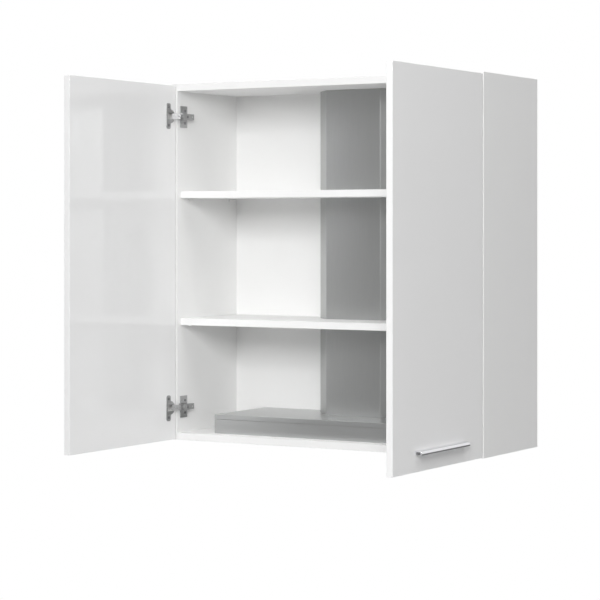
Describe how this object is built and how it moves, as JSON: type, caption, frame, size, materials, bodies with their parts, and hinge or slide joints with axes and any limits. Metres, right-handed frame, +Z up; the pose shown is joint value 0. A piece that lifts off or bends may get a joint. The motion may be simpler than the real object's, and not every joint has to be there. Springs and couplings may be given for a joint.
{
  "type": "range hood cabinet",
  "caption": "White wall cabinet with two doors, shelves notched round a steel chimney hood on its floor, cup hinges, lip handles and a duct collar on top.",
  "frame": {"origin": "middle of the cabinet's lower rear edge, on the wall plane", "axes": "+X to the cabinet's right, +Y into the wall, the front faces -Y, +Z up"},
  "size_m": [0.937, 0.7565, 0.934],
  "materials": {
    "carcass_board": "white melamine faced board, satin",
    "door_board": "white lacquered board, high gloss",
    "back_board": "white lacquered hardboard, satin",
    "dowel_wood": "plain beech",
    "hinge_steel": "nickel plated steel",
    "fastener_steel": "zinc plated steel",
    "handle_metal": "polished metal",
    "hood_steel": "brushed stainless steel",
    "filter_aluminium": "pressed frame and woven mesh",
    "dark_plastic": "fine moulded grain",
    "duct_plastic": "grey moulded plastic",
    "fan_plastic": "dark moulded plastic",
    "motor_paint": "black painted can",
    "lamp_glass": "frosted lens"
  },
  "bodies": {
    "cabinet": {"side_panel_left": "carcass_board", "side_panel_right": "carcass_board", "top_panel": "carcass_board", "bottom_panel": "carcass_board", "shelf_lower": "carcass_board", "shelf_upper": "carcass_board", "back_panel": "back_board", "shelf_pins": "fastener_steel", "carcass_dowels": "dowel_wood", "cam_bolts": "fastener_steel", "cam_locks": "fastener_steel", "hanger_plate_left": "fastener_steel", "hanger_plate_right": "fastener_steel", "hanger_screws": "fastener_steel", "hinge_plates_left": "hinge_steel", "hinge_plates_right": "hinge_steel", "hinge_arms_left": "hinge_steel", "hinge_arms_right": "hinge_steel", "hinge_plate_screws": "fastener_steel", "hood_body": "hood_steel", "hood_fascia": "hood_steel", "hood_lid": "hood_steel", "lamp_left": "dark_plastic", "lamp_right": "dark_plastic", "lamp_lenses": "lamp_glass", "switch_box": "dark_plastic", "chimney": "hood_steel", "fan_housing": "fan_plastic", "fan_motor": "motor_paint", "exhaust_pipe": "duct_plastic", "duct_collar": "duct_plastic", "wood_screws": "fastener_steel"},
    "left_hinge_links": {"hinge_links_left": "hinge_steel", "hinge_arm_pins_left": "hinge_steel"},
    "left_door": {"door_left": "door_board", "handle_left": "handle_metal", "handle_screws_left": "fastener_steel", "hinge_cups_left": "hinge_steel", "hinge_door_pins_left": "hinge_steel", "hinge_cup_screws_left": "fastener_steel"},
    "left_filter": {"filter_frame_left": "filter_aluminium", "filter_mesh_left": "filter_aluminium"},
    "right_hinge_links": {"hinge_links_right": "hinge_steel", "hinge_arm_pins_right": "hinge_steel"},
    "right_door": {"door_right": "door_board", "handle_right": "handle_metal", "handle_screws_right": "fastener_steel", "hinge_cups_right": "hinge_steel", "hinge_door_pins_right": "hinge_steel", "hinge_cup_screws_right": "fastener_steel"},
    "right_filter": {"filter_frame_right": "filter_aluminium", "filter_mesh_right": "filter_aluminium"},
    "push_button_1": {"button_1": "dark_plastic"},
    "push_button_2": {"button_2": "dark_plastic"},
    "push_button_3": {"button_3": "dark_plastic"},
    "push_button_4": {"button_4": "dark_plastic"},
    "fan_rotor": {"fan_impeller": "fan_plastic", "fan_shaft": "fastener_steel"},
    "front_flap": {"flap_front": "duct_plastic"},
    "rear_flap": {"flap_rear": "duct_plastic"}
  },
  "joints": [
    {"name": "left_link_turn", "type": "hinge", "parent": "cabinet", "child": "left_hinge_links", "pos_m": [-0.41825, -0.31146, 0.084], "axis": [0, 0, 1], "range_deg": [-30.34, 3.55]},
    {"name": "left_door_turn", "type": "hinge", "parent": "left_hinge_links", "child": "left_door", "pos_m": [-0.437, -0.3195, 0.084], "axis": [0, 0, 1], "range_deg": [-13.35, 120.14]},
    {"name": "right_link_turn", "type": "hinge", "parent": "cabinet", "child": "right_hinge_links", "pos_m": [0.41825, -0.31146, 0.084], "axis": [0, 0, -1], "range_deg": [-30.34, 3.55]},
    {"name": "right_door_turn", "type": "hinge", "parent": "right_hinge_links", "child": "right_door", "pos_m": [0.437, -0.3195, 0.084], "axis": [0, 0, -1], "range_deg": [-13.35, 120.14]},
    {"name": "left_filter_drop", "type": "hinge", "parent": "cabinet", "child": "left_filter", "pos_m": [-0.126, -0.07, 0.022], "axis": [1, 0, 0], "range_deg": [0, 80]},
    {"name": "right_filter_drop", "type": "hinge", "parent": "cabinet", "child": "right_filter", "pos_m": [0.126, -0.07, 0.022], "axis": [1, 0, 0], "range_deg": [0, 80]},
    {"name": "button_1_press", "type": "slide", "parent": "cabinet", "child": "push_button_1", "axis": [0, 0, 1], "range_m": [0, 0.0025], "stiffness_N_per_m": 800, "springref_m": -0.001},
    {"name": "button_2_press", "type": "slide", "parent": "cabinet", "child": "push_button_2", "axis": [0, 0, 1], "range_m": [0, 0.0025], "stiffness_N_per_m": 800, "springref_m": -0.001},
    {"name": "button_3_press", "type": "slide", "parent": "cabinet", "child": "push_button_3", "axis": [0, 0, 1], "range_m": [0, 0.0025], "stiffness_N_per_m": 800, "springref_m": -0.001},
    {"name": "button_4_press", "type": "slide", "parent": "cabinet", "child": "push_button_4", "axis": [0, 0, 1], "range_m": [0, 0.0025], "stiffness_N_per_m": 800, "springref_m": -0.001},
    {"name": "fan_spin", "type": "hinge", "parent": "cabinet", "child": "fan_rotor", "pos_m": [0, -0.0825, 0.133], "axis": [1, 0, 0], "continuous": true},
    {"name": "front_flap_lift", "type": "hinge", "parent": "cabinet", "child": "front_flap", "pos_m": [0, -0.0825, 0.927], "axis": [-1, 0, 0], "range_deg": [0, 75]},
    {"name": "rear_flap_lift", "type": "hinge", "parent": "cabinet", "child": "rear_flap", "pos_m": [0, -0.0825, 0.927], "axis": [1, 0, 0], "range_deg": [0, 75]}
  ],
  "couplings": [
    {"joint": "left_link_turn", "follows": "left_door_turn", "ratio": -0.25087},
    {"joint": "right_link_turn", "follows": "right_door_turn", "ratio": -0.25087}
  ]
}
